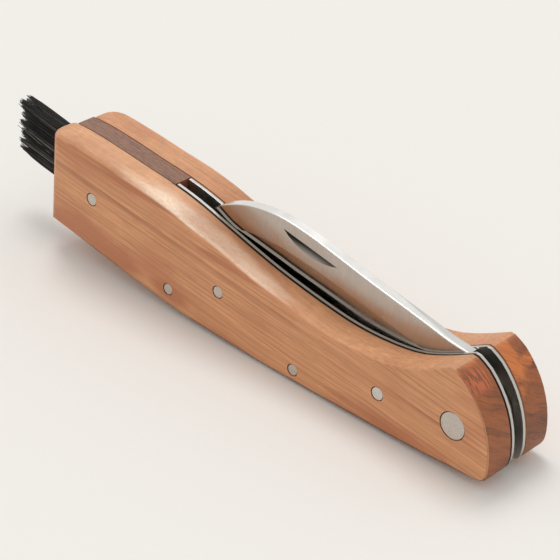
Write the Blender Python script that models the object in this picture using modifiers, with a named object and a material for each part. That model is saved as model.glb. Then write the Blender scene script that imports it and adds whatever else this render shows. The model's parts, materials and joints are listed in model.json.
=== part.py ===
# A folding mushroom knife with a bristle brush, closed and standing on the back of its handle.
# Metres, +Z up. In the handle's own frame the pivot is the origin, +X points out of the pivot end,
# -Y is the side with the nail nick and the blade opens upwards out of the slot.

import math
import random

import bmesh
import bpy
from mathutils import Matrix, Vector

# Handle: outline sizes, and where the pivot lies in it
HANDLE_HEIGHT = 0.0251
HANDLE_THICKNESS = 0.0180
PIVOT_INSET = 0.0093
PIVOT_RISE = 0.01435
EDGE_ROUND = 0.0014
EDGE_ROUND_STEPS = 3
OUTLINE_STEPS = 2
REST_TILT = math.radians(3.4)

# Brush ends of the scales: seen from above a wide round outside and a small one beside the spacer,
# and a soft edge along their top
NICK_SIDE_NOSE_ROUND = 0.0032
FAR_SIDE_NOSE_ROUND = 0.0038
NOSE_INNER_ROUND = 0.0008
NOSE_TOP_ROUND = 0.0015
NOSE_STEPS = 4
NOSE_LAST_ANGLE = math.radians(75)
NICK_SIDE_EXTRA = 0.0012

# Slot, liners and the fits between flat pieces
SLOT_WIDTH = 0.00264
LINER_THICKNESS = 0.00091
GLUE_GAP = 0.0002
END_GAP = 0.0003
SPACER_LENGTH = 0.0301
SPACER_INSET = 0.0006

# Blade
BLADE_LENGTH = 0.0763
BLADE_RISE = 0.01585
BLADE_THICKNESS = 0.0024
TIP_CLEARANCE = 0.0055
EDGE_THICKNESS = 0.0003
SPINE_CHAMFER = 0.00018
TANG_RADIUS = 0.0063
TANG_STEPS = 10
TANG_FIRST_ANGLE = math.radians(9)
TANG_LAST_ANGLE = math.radians(128)
BLADE_STEPS = 2

# Nail nick, cut by a tapered wheel
NICK_LENGTH = 0.0154
NICK_WIDTH = 0.0021
NICK_DEPTH = 0.0005
NICK_DISTANCE = 0.0452
NICK_RISE = 0.0129
NICK_TILT = math.radians(6)
NICK_SEGMENTS = 192

# Back spring
SPRING_THICKNESS = 0.0022
SPRING_NOSE = 0.0020
TANG_CLEARANCE = 0.0003

# Pins, with their fit in the holes and how far they stay below the wood
PIN_RADIUS = 0.00130
PIVOT_HEAD_RADIUS = 0.00289
PIVOT_SHANK_RADIUS = 0.0020
PIN_FIT = 0.00015
PIVOT_FIT = 0.00006
PIN_RECESS = 0.00004
PIN_CHAMFER = 0.00012
PIN_SIDES = 24

# Brush
BRUSH_HEIGHT = 0.0126
BRUSH_THICKNESS = 0.0036
BRUSH_DROP = 0.0014
BRUSH_RISE_ANGLE = math.radians(5.4)
BRISTLE_LENGTH = 0.0212
BRISTLE_SLANT = math.radians(6)
BRISTLE_SCATTER = 0.0009
STRAY_EXTRA = 0.0013
STRAY_SHARE = 0.03
BRISTLE_SWAY = 0.00006
BRISTLE_ROWS = 30
BRISTLE_COLUMNS = 12
BRISTLE_INSET = 0.00005
BRISTLE_TIP_SHARE = 0.6
BRUSH_FAN_SHARE = 0.075
BACKING_DEPTH = 0.0050
POCKET_DEPTH = 0.0068

# How far every cutter runs past what it cuts, and the weld distance for curve caps
OVERRUN = 0.0010
WELD = 0.00001

# The handle is as long as what lies in it from end to end
HANDLE_LENGTH = PIVOT_INSET + BLADE_LENGTH + TIP_CLEARANCE + END_GAP + SPACER_LENGTH + SPACER_INSET

# Handle outline: share of the length from the brush end, share of the height above the lowest point
TOP_SHARES = (
    (0.02, 0.998), (0.042, 1.005), (0.072, 1.006), (0.126, 0.998), (0.185, 0.983), (0.252, 0.97), (0.31, 0.938),
    (0.367, 0.882), (0.433, 0.817), (0.498, 0.761), (0.564, 0.723), (0.629, 0.697), (0.678, 0.692),
    (0.727, 0.711), (0.776, 0.751), (0.817, 0.812), (0.858, 0.916), (0.887, 1.003), (0.9045, 1.056),
)
END_SHARES = (
    (0.913, 1.056), (0.937, 0.998), (0.961, 0.887), (0.980, 0.755), (0.993, 0.604), (0.9993, 0.452),
    (1.0, 0.34), (0.9955, 0.262), (0.982, 0.23),
)
BACK_SHARES = (
    (0.982, 0.23), (0.931, 0.199), (0.852, 0.145), (0.7685, 0.104), (0.683, 0.072), (0.595, 0.04),
    (0.503, 0.016), (0.409, 0.004), (0.334, 0.0), (0.261, 0.018), (0.186, 0.045), (0.106, 0.08), (0.009, 0.128),
)
# Brush end
BUTT_SHARES = ((0.0, 0.168), (0.0, 0.994))
# How round the outer edge is along the top with the pivot end, and along the back
TOP_ROUND_SHARES = (
    (0.0, 1.0), (0.03, 1.1), (0.07, 1.25), (0.126, 1.15), (0.2, 1.0), (0.424, 1.0), (0.603, 0.5), (0.801, 0.45),
    (0.9, 0.4), (0.93, 0.3), (1.0, 0.3),
)
BACK_ROUND_SHARES = ((0.0, 1.0), (0.752, 1.0), (0.93, 0.5), (1.0, 0.3))

# Blade: share of its length from the pivot, spine and edge as shares of its rise, ground or not
BLADE_SHARES = (
    (0.054, 0.668, -0.292, 0.0), (0.12, 0.678, -0.21, 0.0), (0.165, 0.705, -0.15, 0.0),
    (0.19, 0.722, -0.125, 1.0), (0.262, 0.764, -0.07, 1.0), (0.341, 0.81, -0.012, 1.0),
    (0.42, 0.859, 0.038, 1.0), (0.498, 0.915, 0.075, 1.0), (0.577, 0.969, 0.1, 1.0),
    (0.655, 1.0, 0.107, 1.0), (0.721, 0.993, 0.1, 1.0), (0.786, 0.941, 0.08, 1.0),
    (0.839, 0.861, 0.052, 1.0), (0.891, 0.738, 0.02, 1.0), (0.937, 0.58, -0.015, 1.0),
    (0.97, 0.4, -0.04, 1.0), (0.99, 0.2, -0.06, 1.0), (1.0, 0.02, -0.07, 1.0),
)
GRIND_SHARE = 0.47
TIP_TAPER_SHARE = 0.45
TIP_START_SHARE = 0.88

# Back spring's upper side: share of the way from the pivot to the liners' tails, share of the height
SPRING_SHARES = (
    (0.098, 0.285), (0.195, 0.247), (0.294, 0.237), (0.392, 0.261), (0.488, 0.285), (0.612, 0.271),
    (0.733, 0.257), (0.857, 0.269), (0.928, 0.285), (1.0, 0.279),
)

# Pins through the liners: the same two shares, then the radius as a share
PIN_SHARES = {
    "pin_spring_tail": (0.927, 0.172, 0.95),
    "pin_slot": (0.7543, 0.446, 1.0),
    "pin_spring_middle": (0.488, 0.166, 0.95),
}

# Brush pin: share of the spacer from the brush end, share of the height, radius as a share
BRUSH_PIN = "pin_brush_end"
BRUSH_PIN_SHARES = (0.406, 0.572, 1.05)

# Stop pin: its height follows from the closed blade's edge, which lies just above it
STOP_PIN = "pin_stop"
STOP_ALONG_SHARE = 0.2236
STOP_RADIUS_SHARE = 1.08
STOP_CLEARANCE = 0.00053

COLLECTION_NAME = "folding_mushroom_knife"


def handle_point(along_share, up_share):
    x = PIVOT_INSET - HANDLE_LENGTH * (1 - along_share)
    return x, HANDLE_HEIGHT * up_share - PIVOT_RISE


def slot_point(along_share, up_share):
    return LINER_TAIL_X * along_share, HANDLE_HEIGHT * up_share - PIVOT_RISE


def smooth_line(points, steps):
    # Catmull-Rom curve through the points, which may have any number of values
    points = [Vector(point) for point in points]
    padded = [2 * points[0] - points[1]] + points + [2 * points[-1] - points[-2]]
    line = []
    for a, b, c, d in zip(padded, padded[1:], padded[2:], padded[3:]):
        for step in range(steps):
            t = step / steps
            bend = (a * 2 - b * 5 + c * 4 - d) * t**2 + (b * 3 - a - c * 3 + d) * t**3
            line.append((b * 2 + (c - a) * t + bend) / 2)
    return line + [points[-1]]


def value_at(table, position):
    # Straight interpolation in a table of (position, value) pairs in rising order
    for (x0, v0), (x1, v1) in zip(table, table[1:]):
        if position <= x1:
            return v0 + (v1 - v0) * max(0.0, position - x0) / (x1 - x0)
    return table[-1][1]


def cut_line(line, x_low, x_high):
    # The part of a line between two stations, with a point at each station that it crosses
    rising = sorted(((point[0], point[1]) for point in line), key=lambda point: point[0])
    inside = [point for point in rising if x_low < point[0] < x_high]
    return [(x_low, value_at(rising, x_low))] + inside + [(x_high, value_at(rising, x_high))]


TOP_LINE = smooth_line([handle_point(*share) for share in TOP_SHARES], OUTLINE_STEPS)
END_LINE = smooth_line([handle_point(*share) for share in END_SHARES], OUTLINE_STEPS)
BACK_LINE = smooth_line([handle_point(*share) for share in BACK_SHARES], OUTLINE_STEPS)
BUTT_LINE = [handle_point(*share) for share in BUTT_SHARES]
BRUSH_END_X = PIVOT_INSET - HANDLE_LENGTH
LINER_TAIL_X = -(BLADE_LENGTH + TIP_CLEARANCE)
SCALE_INNER = SLOT_WIDTH / 2 + LINER_THICKNESS + GLUE_GAP
SCALE_OUTER = HANDLE_THICKNESS / 2


def clear_scene():
    for obj in list(bpy.data.objects):
        bpy.data.objects.remove(obj, do_unlink=True)


def new_collection(name):
    collection = bpy.data.collections.new(name)
    bpy.context.scene.collection.children.link(collection)
    return collection


def material(name, color, roughness, metallic=0.0):
    made = bpy.data.materials.new(name)
    made.use_nodes = True
    shader = made.node_tree.nodes["Principled BSDF"]
    shader.inputs["Base Color"].default_value = (*color, 1.0)
    shader.inputs["Roughness"].default_value = roughness
    shader.inputs["Metallic"].default_value = metallic
    made.diffuse_color = (*color, 1.0)
    return made


def add_mesh_object(name, mesh, collection, frame):
    obj = bpy.data.objects.new(name, mesh)
    collection.objects.link(obj)
    obj.parent = frame
    return obj


def mesh_from_bmesh(name, bm):
    bmesh.ops.recalc_face_normals(bm, faces=bm.faces)
    mesh = bpy.data.meshes.new(name)
    bm.to_mesh(mesh)
    bm.free()
    return mesh


def outline_mesh(name, outline, y_low, y_high):
    # A flat outline in X and Z as a filled curve, extruded along Y, with each cap made one face
    curve = bpy.data.curves.new(name, "CURVE")
    curve.dimensions = "2D"
    curve.fill_mode = "BOTH"
    curve.extrude = (y_high - y_low) / 2
    spline = curve.splines.new("POLY")
    spline.points.add(len(outline) - 1)
    for point, (x, z) in zip(spline.points, outline):
        point.co = (x, z, 0, 1)
    spline.use_cyclic_u = True
    guide = bpy.data.objects.new(name, curve)
    bpy.context.scene.collection.objects.link(guide)
    mesh = bpy.data.meshes.new_from_object(guide.evaluated_get(bpy.context.evaluated_depsgraph_get()))
    bpy.data.objects.remove(guide)
    bm = bmesh.new()
    bm.from_mesh(mesh)
    bpy.data.meshes.remove(mesh)
    bmesh.ops.remove_doubles(bm, verts=bm.verts, dist=WELD)
    caps = [face for face in bm.faces if abs(face.normal.z) > 0.9]
    inner = [edge for edge in bm.edges if sum(face in caps for face in edge.link_faces) == 2]
    bmesh.ops.dissolve_edges(bm, edges=inner)
    upright = Matrix.Translation((0, (y_low + y_high) / 2, 0)) @ Matrix.Rotation(math.pi / 2, 4, "X")
    bmesh.ops.transform(bm, matrix=upright, verts=bm.verts)
    return mesh_from_bmesh(name, bm)


def finish(obj, look, sharp_angle=math.radians(35)):
    obj.data.materials.append(look)
    obj.data.shade_smooth()
    obj.data.set_sharp_from_angle(angle=sharp_angle)


def cut(obj, cutter, solver="EXACT"):
    boolean = obj.modifiers.new(cutter.name, "BOOLEAN")
    boolean.operation = "DIFFERENCE"
    boolean.solver = solver
    boolean.object = cutter


def helper(obj):
    obj.hide_render = True
    obj.display_type = "WIRE"
    return obj


def pin_places():
    # Centre and radius of each pin
    along_share, up_share, radius_share = BRUSH_PIN_SHARES
    brush_x = BRUSH_END_X + SPACER_INSET + SPACER_LENGTH * along_share
    places = {BRUSH_PIN: (brush_x, slot_point(0, up_share)[1], PIN_RADIUS * radius_share)}
    for name, (along_share, up_share, radius_share) in PIN_SHARES.items():
        places[name] = (*slot_point(along_share, up_share), PIN_RADIUS * radius_share)
    stop_x = LINER_TAIL_X * STOP_ALONG_SHARE
    stop_radius = PIN_RADIUS * STOP_RADIUS_SHARE
    blade_edge = sorted((-BLADE_LENGTH * along, BLADE_RISE * edge) for along, _, edge, _ in BLADE_SHARES)
    stop_z = value_at(blade_edge, stop_x) - stop_radius - STOP_CLEARANCE
    places[STOP_PIN] = (stop_x, stop_z, stop_radius)
    return places


def hole_cutter(name, holes, width, collection, frame):
    # Cylinders along Y, one for each (x, z, radius)
    bm = bmesh.new()
    for x, z, radius in holes:
        place = Matrix.Translation((x, 0, z)) @ Matrix.Rotation(math.pi / 2, 4, "X")
        bmesh.ops.create_cone(
            bm, cap_ends=True, segments=PIN_SIDES, radius1=radius, radius2=radius,
            depth=width + 2 * OVERRUN, matrix=place,
        )
    return helper(add_mesh_object(name, mesh_from_bmesh(name, bm), collection, frame))


def brush_frame():
    # Origin on the pocket's floor, local Z out of the brush end, local X across the handle, local Y up
    axes = Matrix(((0, 0, -1), (-1, 0, 0), (0, 1, 0))).to_4x4()
    rise = Matrix.Rotation(BRUSH_RISE_ANGLE, 4, "Y")
    return Matrix.Translation((BRUSH_END_X + POCKET_DEPTH, 0, -BRUSH_DROP)) @ rise @ axes


def pocket_cutter(collection, frame):
    size = (HANDLE_THICKNESS, BRUSH_HEIGHT + 2 * END_GAP, POCKET_DEPTH + 2 * OVERRUN)
    bm = bmesh.new()
    place = Matrix.Translation((0, 0, size[2] / 2)) @ Matrix.Diagonal((*size, 1))
    bmesh.ops.create_cube(bm, size=1, matrix=place)
    obj = helper(add_mesh_object("brush_pocket", mesh_from_bmesh("brush_pocket", bm), collection, frame))
    obj.matrix_local = brush_frame()
    return obj


def scale_outline(end_extra):
    # A longer scale has its brush end and the slopes beside it further out
    end = [(point[0] - end_extra, point[1]) for point in (BACK_LINE[-1], *BUTT_LINE, TOP_LINE[0])]
    points = list(TOP_LINE[1:]) + list(END_LINE) + list(BACK_LINE[1:-1]) + end
    return [(point[0], point[1]) for point in points]


def nose_arc(radius, edge, side):
    # Points from the flat of the end round to the face at edge, which the last one passes
    points = []
    for step in range(NOSE_STEPS + 1):
        angle = NOSE_LAST_ANGLE * step / NOSE_STEPS
        points.append((radius * (1 - math.cos(angle)), edge - side * radius * (1 - math.sin(angle))))
    out = side * (edge - points[-1][1]) + 2 * OVERRUN
    points.append((points[-1][0] + out * math.tan(NOSE_LAST_ANGLE), points[-1][1] + side * out))
    return points


def nose_cutter(name, side, radius, end_extra, collection, frame):
    # What lies outside one scale's round end: an outline from above, drawn in at each level of the top edge
    end_x = BRUSH_END_X - end_extra
    top_edge = nose_arc(NOSE_TOP_ROUND, TOP_LINE[0][1], 1)[:-1]
    rings = []
    for inset, z in [(0, -HANDLE_HEIGHT), *top_edge, (top_edge[-1][0], HANDLE_HEIGHT)]:
        inner = [(x + inset, y) for x, y in nose_arc(NOSE_INNER_ROUND, SCALE_INNER, -1)]
        outer = [(x + inset, y) for x, y in nose_arc(radius - inset, SCALE_OUTER - inset, 1)]
        corners = [(-OVERRUN, outer[-1][1]), (-OVERRUN, inner[-1][1])]
        rings.append([(end_x + x, side * y, z) for x, y in inner[::-1] + outer + corners])
    return helper(add_mesh_object(name, loft(name, rings), collection, frame))


def liner_outline():
    top = cut_line(TOP_LINE, LINER_TAIL_X, TOP_LINE[-1][0])
    end = [(point[0], point[1]) for point in END_LINE]
    back = cut_line(BACK_LINE, LINER_TAIL_X, BACK_LINE[0][0])[::-1]
    return top + end + back[1:]


def make_scale(name, side, end_extra, look, collection, frame, cutters):
    # side is -1 for the side with the nail nick and +1 for the other
    low, high = sorted((side * SCALE_INNER, side * SCALE_OUTER))
    mesh = outline_mesh(name, scale_outline(end_extra), low, high)
    bm = bmesh.new()
    bm.from_mesh(mesh)
    weights = bm.edges.layers.float.new("bevel_weight_edge")
    back = cut_line(BACK_LINE, BACK_LINE[-1][0], BACK_LINE[0][0])
    for edge in bm.edges:
        if all(abs(vert.co.y - side * SCALE_OUTER) < WELD for vert in edge.verts):
            middle = (edge.verts[0].co + edge.verts[1].co) / 2
            along_share = 1 - (PIVOT_INSET - middle.x) / HANDLE_LENGTH
            shares = BACK_ROUND_SHARES if middle.z < value_at(back, middle.x) + WELD else TOP_ROUND_SHARES
            edge[weights] = value_at(shares, along_share)
    bm.to_mesh(mesh)
    bm.free()
    obj = add_mesh_object(name, mesh, collection, frame)
    rounding = obj.modifiers.new("soft_edge", "BEVEL")
    rounding.limit_method = "WEIGHT"
    rounding.width = EDGE_ROUND
    rounding.segments = EDGE_ROUND_STEPS
    rounding.use_clamp_overlap = False
    # The exact solver leaves its cutter behind in one scale at some sizes
    for cutter in cutters:
        cut(obj, cutter, "MANIFOLD")
    finish(obj, look)
    return obj


def make_liner(name, side, look, collection, frame, cutter):
    inner = SLOT_WIDTH / 2
    low, high = sorted((side * inner, side * (inner + LINER_THICKNESS)))
    obj = add_mesh_object(name, outline_mesh(name, liner_outline(), low, high), collection, frame)
    cut(obj, cutter)
    finish(obj, look)
    return obj


def make_spacer(look, collection, frame, cutter, pocket):
    # Fills the handle between the scales from the brush end to the liners' tails
    front = LINER_TAIL_X - END_GAP
    end_x = BRUSH_END_X + SPACER_INSET
    top = [(end_x, TOP_LINE[0][1])] + cut_line(TOP_LINE, TOP_LINE[0][0], front)
    back = cut_line(BACK_LINE, BACK_LINE[-1][0], front)[::-1]
    half = SCALE_INNER - GLUE_GAP
    mesh = outline_mesh("walnut_spacer", top + back + [(end_x, BUTT_LINE[0][1])], -half, half)
    obj = add_mesh_object("walnut_spacer", mesh, collection, frame)
    cut(obj, cutter)
    cut(obj, pocket)
    finish(obj, look)
    return obj


def make_spring(look, collection, frame, cutter):
    # The nose lies under the tang, the belly follows the handle's back
    seat = -(TANG_RADIUS + TANG_CLEARANCE)
    upper = [(SPRING_NOSE, seat), (SPRING_NOSE - TANG_RADIUS / 2, seat)]
    upper += [slot_point(*share) for share in SPRING_SHARES]
    upper = [(point[0], point[1]) for point in smooth_line(upper, OUTLINE_STEPS)]
    back = cut_line(BACK_LINE, upper[-1][0], SPRING_NOSE)
    half = SPRING_THICKNESS / 2
    mesh = outline_mesh("back_spring", upper + back, -half, half)
    obj = add_mesh_object("back_spring", mesh, collection, frame)
    cut(obj, cutter)
    finish(obj, look)
    return obj


def blade_ring(x, spine, edge, thickness, ground):
    # Eight corners of a section: chamfered spine, flat sides, then the grind down to the edge
    half = thickness / 2
    chamfer = min(SPINE_CHAMFER, (spine - edge) / 4)
    foot = edge + (spine - edge) * (1 - GRIND_SHARE) if ground else edge + chamfer
    tip = EDGE_THICKNESS / 2 if ground else half - chamfer
    one_side = [(spine, half - chamfer), (spine - chamfer, half), (foot, half), (edge, tip)]
    ring = [(x, -y, z) for z, y in one_side] + [(x, y, z) for z, y in reversed(one_side)]
    return ring


def blade_rings():
    rings = []
    for step in range(TANG_STEPS + 1):
        angle = TANG_FIRST_ANGLE + (TANG_LAST_ANGLE - TANG_FIRST_ANGLE) * step / TANG_STEPS
        rise = TANG_RADIUS * math.sin(angle)
        rings.append(blade_ring(TANG_RADIUS * math.cos(angle), rise, -rise, BLADE_THICKNESS, False))
    for along, spine, edge, ground in smooth_line(BLADE_SHARES, BLADE_STEPS):
        past = max(0.0, along - TIP_START_SHARE) / (1 - TIP_START_SHARE)
        thickness = BLADE_THICKNESS * (1 - (1 - TIP_TAPER_SHARE) * past)
        x = -BLADE_LENGTH * along
        rings.append(blade_ring(x, BLADE_RISE * spine, BLADE_RISE * edge, thickness, ground > 0.5))
    return rings


def loft(name, rings):
    bm = bmesh.new()
    rows = [[bm.verts.new(point) for point in ring] for ring in rings]
    for one, two in zip(rows, rows[1:]):
        for i in range(len(one)):
            j = (i + 1) % len(one)
            bm.faces.new((one[i], one[j], two[j], two[i]))
    bm.faces.new(rows[0])
    bm.faces.new(rows[-1])
    return mesh_from_bmesh(name, bm)


def nick_cutter(collection, frame):
    wheel_radius = (NICK_LENGTH**2 / 4 + NICK_DEPTH**2) / (2 * NICK_DEPTH)
    wheel_width = NICK_WIDTH + OVERRUN
    small_radius = wheel_radius - NICK_DEPTH * wheel_width / NICK_WIDTH
    bm = bmesh.new()
    bmesh.ops.create_cone(
        bm, cap_ends=True, segments=NICK_SEGMENTS, radius1=wheel_radius, radius2=small_radius, depth=wheel_width
    )
    obj = helper(add_mesh_object("nick_wheel", mesh_from_bmesh("nick_wheel", bm), collection, frame))
    away = Vector((0, -(BLADE_THICKNESS / 2 + wheel_radius - NICK_DEPTH), 0))
    down = Vector((-math.sin(NICK_TILT), 0, -math.cos(NICK_TILT)))
    obj.location = Vector((-NICK_DISTANCE, 0, NICK_RISE)) + away + down * wheel_width / 2
    obj.rotation_euler = (math.pi, NICK_TILT, 0)
    return obj


def make_blade(look, collection, frame, cutter, nick):
    obj = add_mesh_object("blade", loft("blade", blade_rings()), collection, frame)
    cut(obj, cutter)
    cut(obj, nick)
    finish(obj, look, math.radians(20))
    return obj


def make_pin(name, place, look, collection, frame):
    x, z, radius = place
    bm = bmesh.new()
    bmesh.ops.create_cone(
        bm, cap_ends=True, segments=PIN_SIDES, radius1=radius, radius2=radius,
        depth=HANDLE_THICKNESS - 2 * PIN_RECESS,
    )
    obj = add_mesh_object(name, mesh_from_bmesh(name, bm), collection, frame)
    obj.location = (x, 0, z)
    obj.rotation_euler = (math.pi / 2, 0, 0)
    chamfer = obj.modifiers.new("chamfer", "BEVEL")
    chamfer.width = PIN_CHAMFER
    chamfer.segments = 1
    finish(obj, look)
    return obj


def make_pivot_pin(look, collection, frame):
    # Turned: a wide head in each scale and a thinner shank through the liners and the tang
    half = HANDLE_THICKNESS / 2 - PIN_RECESS
    head = PIVOT_HEAD_RADIUS
    shank_half = SCALE_INNER
    profile = [
        (0, half), (head - PIN_CHAMFER, half), (head, half - PIN_CHAMFER), (head, shank_half),
        (PIVOT_SHANK_RADIUS, shank_half), (PIVOT_SHANK_RADIUS, -shank_half), (head, -shank_half),
        (head, PIN_CHAMFER - half), (head - PIN_CHAMFER, -half), (0, -half),
    ]
    mesh = bpy.data.meshes.new("pivot_pin")
    mesh.from_pydata([(x, 0, z) for x, z in profile], [(i, i + 1) for i in range(len(profile) - 1)], [])
    obj = add_mesh_object("pivot_pin", mesh, collection, frame)
    obj.rotation_euler = (math.pi / 2, 0, 0)
    turn = obj.modifiers.new("turn", "SCREW")
    turn.steps = turn.render_steps = PIN_SIDES
    turn.use_merge_vertices = True
    turn.merge_threshold = WELD
    finish(obj, look)
    return obj


def make_bristles(look, collection, frame):
    # A block whose front face is a grid: each cell is drawn in and drawn out into one strand
    rng = random.Random(7)
    bm = bmesh.new()
    place = Matrix.Diagonal((BRUSH_THICKNESS, BRUSH_HEIGHT, 1, 1))
    bmesh.ops.create_grid(bm, x_segments=BRISTLE_COLUMNS, y_segments=BRISTLE_ROWS, size=0.5, matrix=place)
    cells = list(bm.faces)
    block = bmesh.ops.extrude_face_region(bm, geom=cells, use_keep_orig=True)
    back_verts = [item for item in block["geom"] if isinstance(item, bmesh.types.BMVert)]
    back_faces = [item for item in block["geom"] if isinstance(item, bmesh.types.BMFace)]
    bmesh.ops.translate(bm, verts=back_verts, vec=(0, 0, -BACKING_DEPTH))
    bmesh.ops.dissolve_faces(bm, faces=back_faces)
    bmesh.ops.recalc_face_normals(bm, faces=bm.faces)
    bmesh.ops.inset_individual(bm, faces=cells, thickness=BRISTLE_INSET)
    strands = bmesh.ops.extrude_discrete_faces(bm, faces=cells)["faces"]
    for strand in strands:
        centre = strand.calc_center_median()
        reach = BRISTLE_LENGTH + centre.y * math.tan(BRISTLE_SLANT)
        reach += STRAY_EXTRA if rng.random() < STRAY_SHARE else rng.uniform(-BRISTLE_SCATTER, BRISTLE_SCATTER)
        sway = [rng.uniform(-BRISTLE_SWAY, BRISTLE_SWAY) for _ in range(2)]
        tip = centre * (1 + BRUSH_FAN_SHARE) + Vector((*sway, reach))
        for vert in strand.verts:
            vert.co = tip + (vert.co - centre) * BRISTLE_TIP_SHARE
    obj = add_mesh_object("brush_bristles", mesh_from_bmesh("brush_bristles", bm), collection, frame)
    obj.matrix_local = brush_frame() @ Matrix.Translation((0, 0, END_GAP + BACKING_DEPTH))
    finish(obj, look)
    return obj


def stand_on_ground(frame, parts):
    # The lowest point comes to Z = 0, and the box is centred on the origin in X and Y
    bpy.context.view_layer.update()
    graph = bpy.context.evaluated_depsgraph_get()
    corners = []
    for obj in parts:
        shape = obj.evaluated_get(graph)
        mesh = shape.to_mesh()
        corners += [shape.matrix_world @ vert.co for vert in mesh.vertices]
        shape.to_mesh_clear()
    low = [min(corner[axis] for corner in corners) for axis in range(3)]
    high = [max(corner[axis] for corner in corners) for axis in range(3)]
    frame.location = (-(low[0] + high[0]) / 2, -(low[1] + high[1]) / 2, -low[2])
    bpy.context.view_layer.update()
    print("pivot at", [round(value, 6) for value in frame.matrix_world.translation])
    print("box", [round(b - a, 6) for a, b in zip(low, high)])


def main():
    clear_scene()
    knife = new_collection(COLLECTION_NAME)
    cutters = new_collection(COLLECTION_NAME + "_cutters")
    frame = bpy.data.objects.new("knife_frame", None)
    knife.objects.link(frame)
    frame.rotation_euler = (0, REST_TILT, 0)

    cherry = material("cherry_wood", (0.50, 0.24, 0.12), 0.5)
    walnut = material("walnut_wood", (0.28, 0.15, 0.10), 0.55)
    satin = material("satin_steel", (0.62, 0.60, 0.57), 0.35, 1.0)
    polished = material("polished_steel", (0.72, 0.72, 0.72), 0.18, 1.0)
    spring_steel = material("spring_steel", (0.42, 0.41, 0.40), 0.4, 1.0)
    pin_steel = material("pin_steel", (0.60, 0.59, 0.56), 0.45, 1.0)
    black = material("black_bristle", (0.02, 0.02, 0.022), 0.5)

    pins = pin_places()
    fitted = {name: (x, z, radius + PIN_FIT) for name, (x, z, radius) in pins.items()}
    in_liners = [fitted[name] for name in pins if name != BRUSH_PIN]
    in_spring = [fitted["pin_spring_tail"], fitted["pin_spring_middle"]]
    head_hole = (0, 0, PIVOT_HEAD_RADIUS + PIN_FIT)
    shank_hole = (0, 0, PIVOT_SHANK_RADIUS + PIVOT_FIT)
    scale_holes = hole_cutter("scale_holes", [*fitted.values(), head_hole], HANDLE_THICKNESS, cutters, frame)
    liner_holes = hole_cutter("liner_holes", [*in_liners, shank_hole], HANDLE_THICKNESS, cutters, frame)
    spring_holes = hole_cutter("spring_holes", in_spring, SLOT_WIDTH, cutters, frame)
    spacer_holes = hole_cutter("spacer_holes", [fitted[BRUSH_PIN]], HANDLE_THICKNESS, cutters, frame)
    tang_hole = hole_cutter("tang_hole", [shank_hole], SLOT_WIDTH, cutters, frame)

    near_nose = nose_cutter("near_nose", -1, NICK_SIDE_NOSE_ROUND, NICK_SIDE_EXTRA, cutters, frame)
    far_nose = nose_cutter("far_nose", 1, FAR_SIDE_NOSE_ROUND, 0, cutters, frame)

    parts = [
        make_scale("scale_nick_side", -1, NICK_SIDE_EXTRA, cherry, knife, frame, [near_nose, scale_holes]),
        make_scale("scale_far_side", 1, 0, cherry, knife, frame, [far_nose, scale_holes]),
        make_liner("liner_nick_side", -1, satin, knife, frame, liner_holes),
        make_liner("liner_far_side", 1, satin, knife, frame, liner_holes),
        make_spacer(walnut, knife, frame, spacer_holes, pocket_cutter(cutters, frame)),
        make_spring(spring_steel, knife, frame, spring_holes),
        make_blade(polished, knife, frame, tang_hole, nick_cutter(cutters, frame)),
        make_pivot_pin(pin_steel, knife, frame),
        make_bristles(black, knife, frame),
    ]
    parts += [make_pin(name, place, pin_steel, knife, frame) for name, place in pins.items()]
    stand_on_ground(frame, parts)


main()
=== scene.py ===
import bpy
import bmesh
import json
import math
import random
from mathutils import Euler, Matrix, Vector

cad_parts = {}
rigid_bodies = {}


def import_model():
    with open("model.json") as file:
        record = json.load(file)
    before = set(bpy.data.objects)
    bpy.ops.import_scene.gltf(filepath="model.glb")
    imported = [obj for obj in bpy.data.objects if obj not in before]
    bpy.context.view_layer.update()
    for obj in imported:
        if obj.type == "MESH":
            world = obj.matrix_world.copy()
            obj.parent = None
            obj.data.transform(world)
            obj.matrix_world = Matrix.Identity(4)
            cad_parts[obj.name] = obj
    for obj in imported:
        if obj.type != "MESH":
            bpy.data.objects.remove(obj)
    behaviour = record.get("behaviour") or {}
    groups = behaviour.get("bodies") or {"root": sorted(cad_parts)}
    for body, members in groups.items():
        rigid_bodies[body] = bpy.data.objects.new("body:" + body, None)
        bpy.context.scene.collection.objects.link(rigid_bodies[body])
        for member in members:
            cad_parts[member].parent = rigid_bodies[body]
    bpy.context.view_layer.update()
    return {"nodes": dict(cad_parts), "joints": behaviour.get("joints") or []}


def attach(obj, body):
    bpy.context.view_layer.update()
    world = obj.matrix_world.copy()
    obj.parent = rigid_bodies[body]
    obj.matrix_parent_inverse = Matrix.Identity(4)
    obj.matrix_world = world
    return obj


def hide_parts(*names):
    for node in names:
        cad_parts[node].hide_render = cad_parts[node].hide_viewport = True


# A closed folding mushroom knife on a pale table, standing on its handle's back:
# finishes, brush, light and camera
for startupObject in list(bpy.data.objects):
    bpy.data.objects.remove(startupObject, do_unlink=True)

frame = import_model()
nodes = frame["nodes"]
print("frame loaded:", len(nodes), "nodes")

# The handle's own frame: pivot at the origin, +X out of the pivot end, tilted a little on the table
handle = {
    "pivot": Vector(frame["joints"][0]["pos_m"]),
    "tiltDegrees": 3.4,
}
handleTilt = Matrix.Rotation(math.radians(handle["tiltDegrees"]), 4, "Y")
handleToWorld = Matrix.Translation(handle["pivot"]) @ handleTilt
millimetres = 1000


# Small helpers for node trees

nodeGrid = {"rows": 6, "width": 220, "height": 260}


def addNode(tree, kind, **settings):
    node = tree.nodes.new(kind)
    column, row = divmod(len(tree.nodes), nodeGrid["rows"])
    node.location = (column * nodeGrid["width"], -row * nodeGrid["height"])
    for name, value in settings.items():
        setattr(node, name, value)
    return node


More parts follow.
